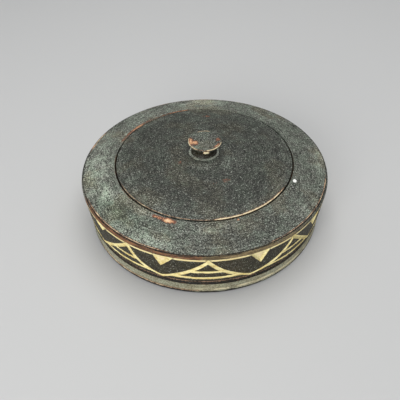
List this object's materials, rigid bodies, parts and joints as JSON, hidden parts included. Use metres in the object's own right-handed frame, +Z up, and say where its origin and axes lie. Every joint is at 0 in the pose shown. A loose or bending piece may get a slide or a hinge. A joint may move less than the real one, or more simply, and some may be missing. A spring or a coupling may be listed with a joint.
{
  "type": "lidded box",
  "caption": "Low round wooden box with an inset domed lid that lifts off by a turned knob, and a carved zigzag band round its side.",
  "frame": {"origin": "centre of the flat underside that the box rests on", "axes": "+Z up through the middle of the lid and knob, front is -Y, +X to the right seen from the front"},
  "size_m": [0.23, 0.23, 0.0762],
  "materials": {
    "scorched_wood": "scorched black, rubbed, with pale carved cuts",
    "scorched_wood_lid": "scorched black, rubbed smooth",
    "worn_knob_wood": "scorched black, worn through to reddish wood at the rim"
  },
  "bodies": {
    "box": {"box_body": "scorched_wood"},
    "lid": {"lid": "scorched_wood_lid", "knob": "worn_knob_wood"}
  },
  "joints": [
    {"name": "lid_lift", "type": "slide", "parent": "box", "child": "lid", "axis": [0, 0, 1], "range_m": [0, 0.07]}
  ]
}
